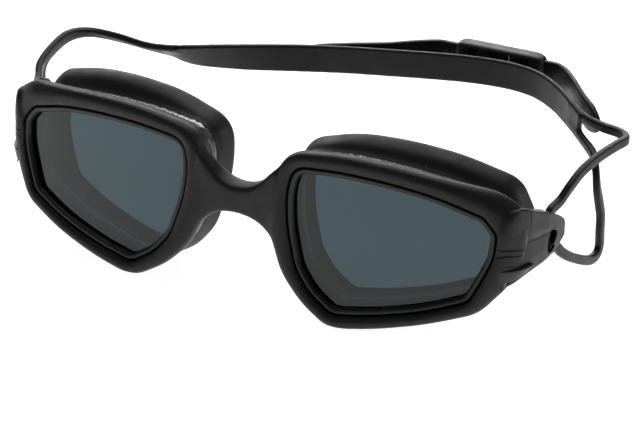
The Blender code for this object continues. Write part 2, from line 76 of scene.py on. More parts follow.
GAP = 0.3
LEDGE = 2.4
BEZEL_FRONT = 0.5
LENS_FRONT = 2.4
LENS_THICK = 2.0
SEAL_THICK = 1.0
SHELF_DEPTH = LENS_FRONT + LENS_THICK + SEAL_THICK + 2 * GAP
RIM_DEPTH = SHELF_DEPTH + 1.5
FLANGE_DEPTH = 3.2
SKIRT_DEPTH = 20.0
SOFT = 99.0

SLOT_X = (80.2, 83.4)
SLOT_Y = (29.8, 35.6)
BAR_UNDERSIDE = -3.4
LOOP_X = 81.8
LOOP_Y = 32.8
LOOP_Z = 0.0
STRAP_THICK = 1.6
STRAP_HEIGHT = 8.6
STRAND_THICK = 2.2
STRAND_WIDTH = 2.9
STRAND_SPREAD = 2.85

BUCKLE_CENTRE = (35.6, 95.7, 17.2)
BUCKLE_TURN = math.radians(3.0)
BUCKLE_LENGTH = 29.0
BUCKLE_HEIGHT = 11.4
BUCKLE_THICK = 5.2

# Voxel sizes of the skins.
FRAME_VOXEL = 0.36
STRAP_VOXEL = 0.3
SMALL_VOXEL = 0.2


# ---------- mesh helpers ----------

def mesh_object(name, verts, faces):
    """An object in sketch millimetres with outward normals."""
    mesh = bpy.data.meshes.new(name)
    mesh.from_pydata([tuple(float(c) for c in v) for v in verts], [], faces)
    bm = bmesh.new()
    bm.from_mesh(mesh)
    bmesh.ops.recalc_face_normals(bm, faces=bm.faces)
    bm.to_mesh(mesh)
    bm.free()
    obj = bpy.data.objects.new(name, mesh)
    bpy.context.scene.collection.objects.link(obj)
    return obj


def apply_modifiers(obj):
    depsgraph = bpy.context.evaluated_depsgraph_get()
    mesh = bpy.data.meshes.new_from_object(obj.evaluated_get(depsgraph))
    old = obj.data
    obj.modifiers.clear()
    obj.data = mesh
    bpy.data.meshes.remove(old)


def discard(*objs):
    for obj in objs:
        mesh = obj.data
        bpy.data.objects.remove(obj, do_unlink=True)
        bpy.data.meshes.remove(mesh)


def join(target, *others):
    """Puts the others' faces into the target's mesh."""
    bm = bmesh.new()
    bm.from_mesh(target.data)
    for other in others:
        bm.from_mesh(other.data)
    bm.to_mesh(target.data)
    bm.free()
    discard(*others)


def cut(target, *tools):
    for tool in tools:
        mod = target.modifiers.new("cut", "BOOLEAN")
        mod.operation = "DIFFERENCE"
        mod.solver = "MANIFOLD"
        mod.object = tool
    apply_modifiers(target)
    discard(*tools)


def remesh(obj, size):
    mod = obj.modifiers.new("skin", "REMESH")
    mod.mode = "VOXEL"
    mod.voxel_size = size
    mod.adaptivity = 0.0
    apply_modifiers(obj)


def coordinates(mesh):
    co = np.empty(len(mesh.vertices) * 3)
    mesh.vertices.foreach_get("co", co)
    return co.reshape(-1, 3)


def set_coordinates(mesh, co):
    mesh.vertices.foreach_set("co", co.ravel())
    mesh.update()


def relax(obj, rounds, weight=None, shrink=False):
    """Evens out a dense skin. Without shrink it keeps its volume."""
    mesh = obj.data
    co = coordinates(mesh)
    n = len(co)
    ends = np.empty(len(mesh.edges) * 2, dtype=np.int64)
    mesh.edges.foreach_get("vertices", ends)
    a, b = ends[::2], ends[1::2]
    degree = np.maximum(np.bincount(ends, minlength=n), 1)[:, None]
    w = 1.0 if weight is None else weight(co)[:, None]
    steps = (0.5,) if shrink else (0.5, -0.52)
    for _ in range(rounds):
        for step in steps:
            total = np.stack([np.bincount(a, co[b, k], n) + np.bincount(b, co[a, k], n)
                              for k in range(3)], axis=1)
            co = co + (total / degree - co) * step * w
    set_coordinates(mesh, co)


def finish_piece(obj, body, material, nodes, angle=40.0):
    """Moves a piece into the shared frame and hangs it on its body."""
    mesh = obj.data
    mesh.transform(Matrix.Scale(MM, 4) @ Matrix.Translation(-ORIGIN))
    mesh.shade_smooth()
    mesh.set_sharp_from_angle(angle=math.radians(angle))
    mesh.materials.clear()
    mesh.materials.append(material)
    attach(obj, body)
    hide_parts(*nodes)


def spline(points, spacing=None, count=None, closed=False):
    """Smooth curve through the points, evenly resampled by length."""
    pts = np.array(points, dtype=float)
    n = len(pts)
    dense = []
    spans = n if closed else n - 1
    for i in range(spans):
        if closed:
            p0, p1, p2, p3 = (pts[(i + k - 1) % n] for k in range(4))
        else:
            p0, p1, p2, p3 = (pts[min(max(i + k - 1, 0), n - 1)] for k in range(4))
        for t in np.linspace(0.0, 1.0, 40, endpoint=False):
            a = 2 * p1
            b = p2 - p0
            c = 2 * p0 - 5 * p1 + 4 * p2 - p3
            d = -p0 + 3 * p1 - 3 * p2 + p3
            dense.append(0.5 * (a + b * t + c * t * t + d * t ** 3))
    dense.append(pts[0] if closed else pts[-1])
    dense = np.array(dense)
    axes = 2 if closed else 3
    step = np.linalg.norm(np.diff(dense[:, :axes], axis=0), axis=1)
    length = np.concatenate([[0.0], np.cumsum(step)])
    if count is None:
        count = max(4, int(round(length[-1] / spacing)) + 1)
    goal = np.linspace(0.0, length[-1], count, endpoint=not closed)
    return np.stack([np.interp(goal, length, dense[:, k]) for k in range(dense.shape[1])], axis=1)


def tube_faces(rows, cols, closed_rows):
    faces = []
    spans = rows if closed_rows else rows - 1
    for i in range(spans):
        for j in range(cols):
            a = i * cols + j
            b = i * cols + (j + 1) % cols
            c = ((i + 1) % rows) * cols + (j + 1) % cols
            d = ((i + 1) % rows) * cols + j
            faces.append((a, b, c, d))
    if not closed_rows:
        faces.append(tuple(range(cols - 1, -1, -1)))
        faces.append(tuple(range((rows - 1) * cols, rows * cols)))
    return faces


def round_corners(outline, radii, steps):
    """Rounds each corner of closed outlines (..., corners, 2) by its own distance."""
    before = np.roll(outline, 1, axis=-2) - outline
    after = np.roll(outline, -1, axis=-2) - outline
    radii = np.asarray(radii, dtype=float)
    reach_a = np.linalg.norm(before, axis=-1)
    reach_b = np.linalg.norm(after, axis=-1)
    start = outline + before * (np.minimum(radii, 0.5 * reach_a) / reach_a)[..., None]
    end = outline + after * (np.minimum(radii, 0.5 * reach_b) / reach_b)[..., None]
    times = (np.arange(steps) + 0.5) / steps
    curve = [(1 - t) ** 2 * start + 2 * t * (1 - t) * outline + t * t * end for t in times]
    rounded = np.stack(curve, axis=-2)
    return rounded.reshape(*outline.shape[:-2], outline.shape[-2] * steps, 2)


# ---------- eyepiece rings ----------

def eye_points(across_mm, up_mm, depth_mm, side):
    """Points on the curved lens surfaces; the arrays share one shape."""
    across = np.array((math.cos(WRAP), math.sin(WRAP), 0.0))
    back = np.array((-math.sin(WRAP), math.cos(WRAP), 0.0))
    up = np.array((0.0, 0.0, 1.0)) * math.cos(LEAN) + back * math.sin(LEAN)
    inward = back * math.cos(LEAN) - np.array((0.0, 0.0, 1.0)) * math.sin(LEAN)
    depth = depth_mm + FRONT_CURVE * across_mm ** 2
    points = np.array((EYE_CENTRE_X, 0.0, 0.0)) + across_mm[..., None] * across
    points = points + up_mm[..., None] * up + depth[..., None] * inward
    points[..., 0] *= side
    return points


def opening_path():
    """Dense run round the opening: straight sides joined by curved corners; every column blends alike."""
    rows = np.array(OPENING)
    count = len(rows)
    dense = []
    for i in range(count):
        corner = rows[i][:5]
        before, after = rows[i - 1][:5], rows[(i + 1) % count][:5]
        ease_in, ease_out = (min(rows[i][5], 0.5 * np.linalg.norm((other - corner)[:2]))
                             / np.linalg.norm((other - corner)[:2]) for other in (before, after))
        start = corner + (before - corner) * ease_in
        end = corner + (after - corner) * ease_out
        for t in np.linspace(0.0, 1.0, CORNER_STEPS):
            dense.append((1 - t) ** 2 * start + 2 * t * (1 - t) * corner + t * t * end)
    return np.array(dense)


def opening_ring():
    dense = opening_path()
    closed = np.vstack([dense, dense[:1]])
    step = np.linalg.norm(np.diff(closed[:, :2], axis=0), axis=1)
    length = np.concatenate([[0.0], np.cumsum(step)])
    goal = np.linspace(0.0, length[-1], RING_SAMPLES, endpoint=False)
    ring = np.stack([np.interp(goal, length, closed[:, k]) for k in range(closed.shape[1])], axis=1)
    tangent = np.roll(ring[:, :2], -1, axis=0) - np.roll(ring[:, :2], 1, axis=0)
    for _ in range(4):
        tangent = (np.roll(tangent, 1, axis=0) + 2 * tangent + np.roll(tangent, -1, axis=0)) / 4
    tangent /= np.linalg.norm(tangent, axis=1)[:, None]
    normal = np.stack([tangent[:, 1], -tangent[:, 0]], axis=1)
    return ring, normal


def ring_object(name, rows, side, steps=5, ripple=None):
    """A ring swept round the opening.

    Rows: fraction of the rim width, fraction of the skirt overhang, extra, depth, corner rounding, sweep.
    """
    ring, normal = opening_ring()
    table = np.array([tuple(row) + (0.0,) * (6 - len(row)) for row in rows])
    reach = ring[:, 2:3] * table[:, 0] + ring[:, 3:4] * table[:, 1] + table[:, 2]
    depth = table[:, 3] + ring[:, 4:5] * table[:, 5]
    section = round_corners(np.stack([reach, depth], axis=-1), table[:, 4], steps)
    reach, depth = section[..., 0], section[..., 1]
    if ripple is not None:
        reach = reach + ripple(ring[:, 0:1], ring[:, 1:2], depth)
    across = ring[:, 0:1] + normal[:, 0:1] * reach
    up = ring[:, 1:2] + normal[:, 1:2] * reach
    points = eye_points(across, up, depth, side).reshape(-1, 3)
    points[:, 2] = np.maximum(points[:, 2], ORIGIN.z)
    return mesh_object(name, points, tube_faces(section.shape[0], section.shape[1], True))


RIM_ROWS = [
    (0.0, 0.0, 0.15, 0.4, 0.2),
    (0.0, 0.0, 0.30, 0.0, 0.4),
    (0.20, 0.0, 0.20, -0.5, SOFT),
    (0.55, 0.0, 0.10, -0.85, SOFT, 0.3),
    (0.90, 0.0, 0.0, -0.2, SOFT, 0.85),
    (1.03, 0.0, 0.0, 1.2, SOFT, 1.0),
    (1.01, 0.0, 0.0, 3.2, SOFT, 0.9),
    (0.88, 0.0, 0.0, 5.0, SOFT, 0.5),
    (0.70, 0.0, 0.0, RIM_DEPTH - 0.6, 0.5),
    (0.56, 0.0, 0.0, RIM_DEPTH, 0.3),
    (0.0, 0.0, -LEDGE, RIM_DEPTH, 0.3),
    (0.0, 0.0, -LEDGE, SHELF_DEPTH, 0.2),
    (0.0, 0.0, 0.15, SHELF_DEPTH, 0.2),
]

BEZEL_ROWS = [
    (0.0, 0.0, -0.22, BEZEL_FRONT + 0.35, 0.3),
    (0.0, 0.0, -0.18, LENS_FRONT - GAP, 0.1),
    (0.0, 0.0, -2.0, LENS_FRONT - GAP, 0.2),
    (0.0, 0.0, -1.95, BEZEL_FRONT + 0.9, 0.35),
    (0.0, 0.0, -1.45, BEZEL_FRONT + 0.05, 0.45),
    (0.0, 0.0, -0.55, BEZEL_FRONT - 0.1, 0.35),
]


def seal_rows():
    front = LENS_FRONT + LENS_THICK + GAP
    return [
        (0.0, 0.0, -0.4, front, 0.3),
        (0.0, 0.0, -0.4, front + SEAL_THICK - 0.3, 0.3),
        (0.0, 0.0, -2.2, front + SEAL_THICK - 0.3, 0.3),
        (0.0, 0.0, -2.2, front, 0.3),
    ]


def flange_rows():
    front = RIM_DEPTH + GAP
    return [
        (0.40, 0.10, 0.0, front, 0.15),
        (0.44, 0.14, 0.05, front + 0.5, 0.3),
        (0.42, 0.13, 0.0, front + FLANGE_DEPTH - 0.6, 0.4),
        (0.38, 0.08, 0.0, front + FLANGE_DEPTH, 0.2),
        (0.0, 0.0, -LEDGE, front + FLANGE_DEPTH, 0.3),
        (0.0, 0.0, -LEDGE, front, 0.3),
    ]


def gasket_rows():
    front = RIM_DEPTH + FLANGE_DEPTH + 2 * GAP
    lip = SKIRT_DEPTH
    return [
        (0.30, 0.16, 0.0, front, 0.3),
        (0.28, 0.30, 0.0, front + 1.0, SOFT),
        (0.15, 0.74, 0.2, front + 2.5, SOFT),
        (0.0, 1.02, 0.75, lip - 3.4, SOFT),
        (0.0, 1.04, 0.95, lip - 1.3, SOFT),
        (0.0, 0.92, 0.1, lip - 0.05, SOFT),
        (0.0, 0.5, -0.8, lip + 0.05, SOFT),
        (0.0, 0.0, -2.2, lip + 0.1, 0.5),
        (0.0, 0.0, -2.4, lip - 0.9, 0.4),
        (0.0, 0.5, -1.0, lip - 1.3, SOFT),
        (0.0, 0.85, -0.7, lip - 2.3, SOFT),
        (0.0, 0.85, -0.7, lip - 3.3, SOFT),
        (0.12, 0.60, -1.0, front + 3.0, SOFT),
        (0.14, 0.10, -0.8, front + 1.4, SOFT),
        (0.0, 0.0, -LEDGE, front + 1.2, 0.3),
        (0.0, 0.0, -LEDGE, front, 0.3),
    ]


def crinkle(across, up, depth):
    """Small creases of the bonding film, strongest over the upper nose side."""
    wave = np.sin(across * 2.9 + up * 1.7) * np.sin(across * 1.3 - up * 3.7 + depth * 1.1)
    fine = np.sin(across * 6.1 - up * 5.3) * np.cos(depth * 2.7 + across)
    place = np.exp(-((across + 21.0) ** 2 + (up - 17.0) ** 2) / 260.0)
    return (0.04 + 0.28 * place) * (0.6 * wave + 0.4 * fine)


def lens_object(name, side):
    """Curved plate with a softened edge."""
    ring, normal = opening_ring()
    count = len(ring)
    edge = -0.45
    levels = [0.06, 0.14, 0.24, 0.36, 0.5, 0.64, 0.78, 0.89, 0.96, 0.992]
    shells = []
    front = LENS_FRONT
    back = LENS_FRONT + LENS_THICK
    outline = ring[:, :2] + normal * edge
    for scale in levels:
        shells.append((outline * scale, front))
    shells.append((outline, front + 0.25))
    shells.append((outline, back - 0.25))
    for scale in reversed(levels):
        shells.append((outline * scale, back))
    verts = [eye_points(np.zeros(1), np.zeros(1), np.full(1, front), side)]
    for points, depth in shells:
        verts.append(eye_points(points[:, 0], points[:, 1], np.full(count, depth), side))
    verts.append(eye_points(np.zeros(1), np.zeros(1), np.full(1, back), side))
    verts = np.concatenate(verts)
    faces = []
    for j in range(count):
        faces.append((0, 1 + (j + 1) % count, 1 + j))
    for level in range(len(shells) - 1):
        base = 1 + level * count
        for j in range(count):
            k = (j + 1) % count
            faces.append((base + j, base + k, base + count + k, base + count + j))
    last = 1 + (len(shells) - 1) * count
    for j in range(count):
        faces.append((last + count, last + j, last + (j + 1) % count))
    return mesh_object(name, verts, faces)


# ---------- lofts ----------

def box_outline(low, high):
    (a0, b0), (a1, b1) = low, high
    return [(a0, b0), (a1, b0), (a1, b1), (a0, b1)]


def loft(name, stations, radii, place, spacing, steps):
    """Skin over outlines at rising positions.

    Each station is (position, outline); place maps position and outline to x, y, z.
    """
    at = np.array([station[0] for station in stations], dtype=float)
    shapes = np.array([station[1] for station in stations], dtype=float)
    flat = np.concatenate([at[:, None], np.zeros((len(at), 2)), shapes.reshape(len(at), -1)], axis=1)
    path = spline(flat, spacing=spacing)
    at = path[:, 0]
    shapes = path[:, 3:].reshape(len(path), -1, 2)
    section = round_corners(shapes, radii, steps)
    verts = []
    for i, row in enumerate(section):
        for a, b in row:
            verts.append(place(at[i], a, b))
    return mesh_object(name, verts, tube_faces(section.shape[0], section.shape[1], False))


def prism(name, outline, side, inside, outside):
    """Side-on outline (y, z) pushed through one side of the goggles."""
    x0, x1 = sorted((side * inside, side * outside))
    n = len(outline)
    verts = [(x0, y, z) for y, z in outline] + [(x1, y, z) for y, z in outline]
    faces = [tuple(range(n - 1, -1, -1)), tuple(range(n, 2 * n))]
    for j in range(n):
        k = (j + 1) % n
        faces.append((j, k, n + k, n + j))
    return mesh_object(name, verts, faces)


def wire(name, points, radius):
    """Round bead along a polyline, pointed at both ends; used as a groove cutter."""
    sides = 8
    path = spline([tuple(p) for p in points], spacing=0.5)
    n = len(path)
    verts = []
    for i in range(n):
        tangent = Vector(path[min(i + 1, n - 1)] - path[max(i - 1, 0)]).normalized()
        if i == 0:
            aside = tangent.orthogonal().normalized()
        else:
            aside = (aside - tangent * aside.dot(tangent)).normalized()
        other = tangent.cross(aside)
        ease = min(1.0, 0.35 + 0.65 * min(i, n - 1 - i) / 4.0)
        for s in range(sides):
            turn = 2 * math.pi * s / sides
            point = Vector(path[i]) + (aside * math.cos(turn) + other * math.sin(turn)) * radius * ease
            verts.append(point)
    return mesh_object(name, verts, tube_faces(n, sides, False))


def on_skin(obj, points):
    """The polyline laid on the object's nearest surface."""
    mesh = obj.data
    tree = BVHTree.FromPolygons([v.co for v in mesh.vertices], [p.vertices for p in mesh.polygons])
    path = spline(points, spacing=0.6)
    return [tree.find_nearest(Vector(p))[0] for p in path]


def mirrored(points, side):
    return [(side * x, y, z) for x, y, z in points]


def smoothstep(low, high, value):
    t = np.clip((value - low) / (high - low), 0.0, 1.0)
    return t * t * (3 - 2 * t)


# ---------- front frame ----------

# Distance from the middle, underside, top, back.
BRIDGE_HALF = [
    (0.0, 0.0, 8.6, 6.6), (3.5, -0.3, 9.2, 6.5), (7.0, -1.4, 11.2, 6.2),
    (10.0, -3.6, 14.4, 5.4), (12.6, -6.5, 17.0, 4.4),
]

# Seam between arm and clip, seen from the side (y, z), top to bottom.
SEAM = [
    (19.2, 17.0), (18.3, 13.8), (17.6, 9.5), (17.0, 5.4), (16.6, 4.6), (15.6, 3.6), (14.9, 1.6),
    (14.0, -0.2), (12.9, -3.2), (12.0, -4.6), (10.4, -5.8), (9.2, -7.0), (8.6, -9.5),
]
SEAM_GAP = 0.16
# Sideways reach of the cutters: the arm is cut from its inner face out, the clip right through.
ARM_INSIDE = 79.3
CLIP_INSIDE = 70.0
SIDE_OUTSIDE = 92.0

# Side rows: y, inner x, outer x, underside, lower edge of the flat, ridge height, ridge step, top.
ARM_ROWS = [
    (8.6, 77.4, 79.2, -1.0, 1.5, 3.6, 0.0, 9.0),
    (10.4, 78.1, 80.9, -5.0, -0.6, 4.4, 0.0, 13.6),
    (13.0, 78.7, 82.2, -7.0, -1.4, 4.8, 0.0, 15.3),
    (17.0, 79.4, 83.25, -6.9, -1.3, 5.0, 0.0, 14.7),
    (20.5, 79.4, 83.8, -6.8, -1.2, 3.9, 0.0, 12.8),
]
CLIP_ROWS = [
    (8.6, 80.2, 80.4, -6.8, -0.6, 4.6, 0.1, 11.4),
    (10.0, 80.2, 80.9, -6.9, -0.8, 4.6, 0.3, 12.4),
    (13.0, 80.2, 82.2, -7.0, -1.2, 4.8, 0.5, 15.3),
    (17.0, 79.6, 83.25, -6.9, -1.2, 4.9, 0.55, 14.7),
    (21.0, 79.4, 83.9, -6.8, -1.2, 3.9, 0.6, 12.6),
    (26.0, 79.4, 84.4, -6.9, -1.2, 3.2, 0.6, 10.2),
    (29.0, 79.4, 84.5, -6.9, -1.3, 2.8, 0.45, 8.9),
    (31.4, 79.4, 84.5, -6.8, -1.3, 2.0, 0.15, 7.8),
    (35.0, 79.4, 84.4, -6.3, -1.6, 1.0, 0.0, 5.7),
    (38.0, 79.4, 84.3, -5.2, -1.9, 0.2, 0.0, 3.8),
    (39.3, 79.6, 84.0, -4.4, -2.2, -0.2, 0.0, 2.9),
]
SIDE_RADII = [0.6, 0.8, 1.2, 0.5, 0.35, 0.18, SOFT, SOFT, 1.1, 0.6]


# Part of the rim that the cheek runs from: across and up limits, then rows of fraction, depth, sweep.
CHEEK_FROM = 24.0
CHEEK_LOW = -0.5
CHEEK_HIGH = 11.8
CHEEK_PROFILE = [(0.45, -0.75, 0.25), (0.86, -0.1, 0.8), (0.9, 3.0, 0.8)]


def side_stations(rows):
    stations = []
    for y, x_in, x_out, low, edge, ridge, step, top in rows:
        stations.append((y, [
            (x_in, low),
            (x_in + 0.55 * (x_out - x_in), low),
            (x_out - 0.55, low + 1.5),
            (x_out + 0.05, edge),
            (x_out - 0.35 * step, ridge - 0.35),
            (x_out - step, ridge + 0.1),
            (x_out + 0.1, ridge + 0.25 * (top - ridge)),
            (x_out + 0.05, ridge + 0.6 * (top - ridge)),
            (x_out - 0.55, top),
            (x_in, top),
        ]))
    return stations


def side_loft(name, rows, side):
    return loft(name, side_stations(rows), SIDE_RADII, lambda y, x, z: (side * x, y, z), 0.5, 5)


def seam_cutter(name, side, behind, shift):
    """Everything behind (or in front of) the seam line."""
    line = [(y + shift, z) for y, z in SEAM]
    far = 70.0 if behind else -20.0
    outline = line + [(far, -9.5), (far, 17.0)]
    return prism(name, outline, side, ARM_INSIDE if behind else CLIP_INSIDE, SIDE_OUTSIDE)


# Grooves and the lower seam on the right side, roughly on the surface.
GROOVES = [
    ([(77.2, 7.2, 4.5), (80.8, 10.1, 4.3), (82.9, 15.2, 3.2)], 0.3),
    ([(77.1, 7.2, 2.1), (80.5, 9.6, 2.6), (82.8, 14.4, 1.7)], 0.3),
    ([(81.4, 12.4, -4.4), (80.2, 10.4, -5.9), (79.3, 9.6, -7.4), (77.9, 10.6, -10.4),
      (75.6, 10.2, -13.8)], 0.24),
    ([(79.4, 9.2, -0.4), (81.0, 11.2, -0.9), (82.6, 14.4, -1.3)], 0.16),
]


def cheek(side):
    """Flat face from the temple side of the rim back to the arm."""
    ring, normal = opening_ring()
    near = (ring[:, 0] > CHEEK_FROM) & (ring[:, 1] > CHEEK_LOW) & (ring[:, 1] < CHEEK_HIGH)
    points = []
    for fraction, depth, sweep in CHEEK_PROFILE:
        reach = ring[near, 2] * fraction
        across = ring[near, 0] + normal[near, 0] * reach
        up = ring[near, 1] + normal[near, 1] * reach
        points.append(eye_points(across, up, depth + ring[near, 4] * sweep, side))
    for y, x_in, x_out, low, edge, ridge, step, top in ARM_ROWS[2:]:
        corners = [(x_in, y, low + 1.2), (x_out - 0.6, y, low + 1.8), (x_out - 0.05, y, edge),
                   (x_out - 0.05, y, 0.5 * (ridge + top)), (x_out - 0.6, y, top - 0.2),
                   (x_in, y, top - 0.2)]
        points.append(np.array([(side * x, v, z) for x, v, z in corners]))
    bm = bmesh.new()
    for point in np.concatenate(points):
        bm.verts.new(point)
    hull = bmesh.ops.convex_hull(bm, input=bm.verts)
    loose = [v for v in hull["geom_interior"] + hull["geom_unused"] if isinstance(v, bmesh.types.BMVert)]
    bmesh.ops.delete(bm, geom=list(set(loose)), context="VERTS")
    bm.verts.index_update()
    verts = [tuple(v.co) for v in bm.verts]
    faces = [tuple(v.index for v in f.verts) for f in bm.faces]
    bm.free()
    return mesh_object("cheek", verts, faces)


def build_frame():
    rim = ring_object("frame_shell", RIM_ROWS, 1)
    other = ring_object("left_rim", RIM_ROWS, -1)
    mirror = [(-row[0], *row[1:]) for row in BRIDGE_HALF[:0:-1]]
    stations = [(x, box_outline((-0.8, low), (back, high))) for x, low, high, back in mirror + BRIDGE_HALF]
    bridge = loft("bridge", stations, [1.6, 1.6, 2.2, 2.0], lambda x, y, z: (x, y, z), 0.8, 6)
    arms = []
    for side in (1, -1):
        arms.append(side_loft("arm", ARM_ROWS, side))
    join(rim, other, bridge, *arms, *[cheek(side) for side in (1, -1)])
    remesh(rim, FRAME_VOXEL)
    relax(rim, 5)
    relax(rim, 34, lambda co: 1.0 - smoothstep(12.0, 15.6, np.abs(co[:, 0])), True)

    def near_arm(co):
        return smoothstep(77.0, 78.5, np.abs(co[:, 0])) * (1.0 - smoothstep(11.5, 14.0, co[:, 1]))

    relax(rim, 10, near_arm, True)
    tools = [seam_cutter("behind_seam", side, True, -SEAM_GAP / 2) for side in (1, -1)]
    for side in (1, -1):
        for points, radius in GROOVES:
            laid = on_skin(rim, mirrored(points, side))
            tools.append(wire("groove", laid, radius))
    cut(rim, *tools)
    co = coordinates(rim.data)
    co[:, 2] = np.maximum(co[:, 2], ORIGIN.z)
    set_coordinates(rim.data, co)
    return rim


# ---------- clips and blades ----------

# Bean-shaped strap window, seen from the side (y, z).
WINDOW = [
    (28.8, 2.4), (30.0, 2.9), (31.6, 2.5), (32.9, 1.6), (33.3, 0.7), (32.7, -0.3), (31.9, -1.0),
    (31.5, -1.8), (31.9, -2.5), (32.5, -3.0), (31.8, -3.5), (30.2, -3.9), (28.7, -3.6), (27.6, -2.7),
    (27.1, -1.4), (27.2, 0.2), (27.8, 1.5),
]
WINDOW_INSIDE = 82.6
# Channel under the rear bar, where the lower strand leaves the slot (y).
CHANNEL_Y = (SLOT_Y[0] + 1.0, 45.0)
FAR = 20.0


def build_clip(side, tag):
    clip = side_loft(tag + "_clip_body", CLIP_ROWS, side)
    front = seam_cutter("ahead_of_seam", side, False, SEAM_GAP / 2)
    opening = box_outline((SLOT_Y[0], -FAR), (SLOT_Y[1], FAR))
    slot = prism("slot", opening, side, *SLOT_X)
    outline = spline(WINDOW, count=64, closed=True)
    window = prism("window", [tuple(p) for p in outline], side, WINDOW_INSIDE, SIDE_OUTSIDE)
    underside = box_outline((CHANNEL_Y[0], -FAR), (CHANNEL_Y[1], BAR_UNDERSIDE))
    channel = prism("channel", underside, side, *SLOT_X)
    cut(clip, front, slot, window, channel)
    remesh(clip, SMALL_VOXEL)
    relax(clip, 4)
    return clip


# Blade spine: x, y, z of the middle, half height, thickness.
BLADE = [
    (77.9, 8.2, -3.6, 1.5, 0.2),
    (79.2, 8.9, -3.7, 1.9, 0.6),
    (80.6, 10.4, -3.7, 1.8, 0.9),
    (81.9, 12.6, -3.5, 1.45, 1.1),
    (83.0, 15.2, -3.1, 0.95, 1.15),
    (83.7, 17.2, -2.75, 0.5, 1.0),
    (84.0, 18.6, -2.5, 0.12, 0.5),
]


def build_blade(side, tag):
    path = spline(BLADE, spacing=0.3)
    verts = []
    steps = 4
    count = 0
    for i, row in enumerate(path):
        before = Vector(path[max(i - 1, 0)][:3])
        after = Vector(path[min(i + 1, len(path) - 1)][:3])
        tangent = (after - before).normalized()
        out = Vector((tangent.y, -tangent.x, 0.0)).normalized()
        up = out.cross(tangent) * -1.0
        half, thick = row[3], row[4]
        outline = np.array([(-0.9, half * 0.9), (0.3 * thick, half), (0.7 * thick, 0.0),
                            (0.9 * thick, -half * 0.92), (0.3 * thick, -half), (-0.9, -half * 0.9)])
        section = round_corners(outline, [0.1, 0.15, SOFT, 0.12, 0.15, 0.1], steps)
        count = len(section)
        for a, b in section:
            point = Vector(row[:3]) + out * a + up * b
            verts.append((side * point.x, point.y, point.z))
    return mesh_object(tag + "_blade_inlay", verts, tube_faces(len(path), count, False))


# ---------- strap ----------

def ribbon(name, rows, thick, width, spacing, corner, steps=5, taper=None):
    """Flat band along rows of x, y, z, facing angle and upward tilt of the face in degrees."""
    path = spline([tuple(row) + (0.0,) * (5 - len(row)) for row in rows], spacing=spacing)
    last = len(path) - 1
    verts = []
    count = 0
    for i, row in enumerate(path):
        before = Vector(path[max(i - 1, 0)][:3])
        after = Vector(path[min(i + 1, last)][:3])
        tangent = (after - before).normalized()
        turn = math.radians(row[3])
        tilt = math.radians(row[4])
        face = Vector((math.cos(turn) * math.cos(tilt), math.sin(turn) * math.cos(tilt), math.sin(tilt)))
        face = (face - tangent * face.dot(tangent)).normalized()
        across = tangent.cross(face).normalized()
        scale = (1.0, 1.0) if taper is None else taper(i * spacing, (last - i) * spacing)
        t, w = thick * scale[0], width * scale[1]
        outline = np.array([(-t / 2, -w / 2), (t / 2, -w / 2), (t / 2, w / 2), (-t / 2, w / 2)])
        section = round_corners(outline, [min(corner, 0.45 * t)] * 4, steps)
        count = len(section)
        for a, b in section:
            verts.append(Vector(row[:3]) + face * a + across * b)
    return mesh_object(name, verts, tube_faces(len(path), count, False))


HEAD_BAND = [
    (-64.0, 65.8, 11.7, 96.0, 60.0),
    (-58.0, 65.6, 11.8, 98.0, 41.0),
    (-51.5, 66.7, 12.1, 101.0, 27.0),
    (-47.0, 68.0, 12.4, 103.0, 20.0),
    (-38.0, 71.0, 12.9, 107.0, 9.0),
    (-29.0, 74.2, 13.5, 108.0, 3.0),
    (-20.0, 77.0, 14.2, 107.0, 0.0),
    (-8.0, 80.5, 15.0, 106.0, 0.0),
    (4.0, 83.6, 15.6, 105.0, 0.0),
    (16.0, 86.6, 16.2, 103.0, 0.0),
    (28.0, 89.0, 16.8, 99.0, 0.0),
    (40.0, 90.0, 17.2, 90.0, 0.0),
    (50.0, 88.6, 17.2, 76.0, 0.0),
    (58.0, 84.8, 16.6, 60.0, 0.0),
    (65.0, 79.6, 15.6, 50.0, 0.0),
    (72.0, 73.6, 14.4, 46.0, 0.0),
]

RIGHT_LOOP = [
    (66.4, 78.6, 15.4 + STRAND_SPREAD, 49.0),
    (73.0, 74.0, 14.5 + STRAND_SPREAD, 52.0),
    (79.0, 72.6, 16.5, 60.0),
    (85.0, 71.8, 16.2, 58.0),
    (88.6, 68.6, 16.2, 12.0),
    (87.9, 63.1, 16.2, -8.0),
    (86.5, 55.4, 15.8, -8.0),
    (85.1, 47.4, 14.4, -6.0),
    (84.0, 41.8, 11.6, -4.0),
    (82.9, 38.4, 8.6, -2.0),
    (82.2, 36.2, 7.5, 0.0),
    (LOOP_X, LOOP_Y + 1.1, 6.8, 0.0),
    (LOOP_X, LOOP_Y, 5.0, 0.0),
    (LOOP_X, LOOP_Y, LOOP_Z, 0.0),
    (LOOP_X, LOOP_Y, -4.0, 0.0),
    (LOOP_X, LOOP_Y + 1.0, -5.3, 0.0),
    (81.9, 36.0, -5.5, 0.0),
    (82.2, 38.2, -6.4, 0.0),
    (82.6, 40.5, -8.8, 0.0),
    (83.2, 45.2, -12.3, 0.0),
    (83.8, 52.3, -16.3, 0.0),
    (84.0, 57.5, -18.6, 0.0),
    (84.2, 61.4, -18.8, 0.0),
    (84.3, 63.4, -16.6, 0.0),
    (84.2, 63.6, -11.4, 0.0),
    (84.0, 64.0, -7.2, 0.0),
    (83.6, 63.4, -3.0, 2.0),
    (83.0, 62.8, 1.8, 12.0),
    (81.8, 64.0, 6.6, 26.0),
    (79.0, 67.6, 9.8, 40.0),
    (73.0, 72.6, 14.3 - STRAND_SPREAD, 48.0),
    (66.4, 78.6, 15.4 - STRAND_SPREAD, 49.0),
]

